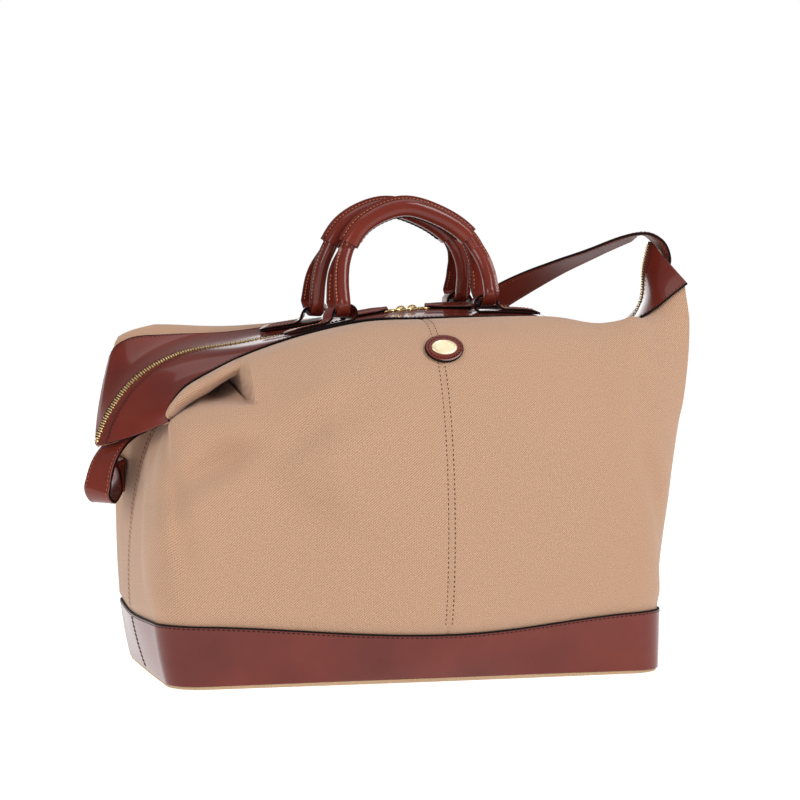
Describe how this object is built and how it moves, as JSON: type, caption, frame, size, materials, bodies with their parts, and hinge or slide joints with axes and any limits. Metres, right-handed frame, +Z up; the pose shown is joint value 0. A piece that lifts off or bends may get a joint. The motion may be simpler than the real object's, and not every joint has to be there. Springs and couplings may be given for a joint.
{
  "type": "travel bag",
  "caption": "Soft canvas travel bag with leather base band and zipped leather top, rolled carrying handles, and a buckled shoulder strap; stands on a flat base.",
  "frame": {"origin": "on the floor, under the middle of the base", "axes": "+X along the bag, to the right as seen from the front, +Y to the back, +Z up"},
  "size_m": [0.5793, 0.327, 0.4527],
  "materials": {
    "canvas": "tan cotton twill",
    "leather": "glossy red-brown calf",
    "zip_tape": "woven zip tape",
    "brass": "polished"
  },
  "bodies": {
    "root": {"canvas_front_left": "canvas", "canvas_front_right": "canvas", "canvas_back_left": "canvas", "canvas_back_right": "canvas", "band_front": "leather", "band_back": "leather", "bottom_panel": "canvas", "top_front": "leather", "top_back": "leather", "zip_tape_front": "zip_tape", "zip_tape_back": "zip_tape", "zip_chain": "brass", "zip_slider_left": "brass", "zip_slider_right": "brass", "zip_ring_left": "brass", "zip_ring_right": "brass", "zip_pull_left": "leather", "zip_pull_right": "leather", "handle_front": "leather", "handle_back": "leather", "grip_front": "leather", "grip_back": "leather", "tab_front_left": "leather", "tab_front_right": "leather", "tab_back_left": "leather", "tab_back_right": "leather", "badge_leather": "leather", "badge_plate": "brass", "strap_long": "leather", "strap_short": "leather", "buckle_frame": "brass", "buckle_prong": "brass"}
  },
  "joints": []
}
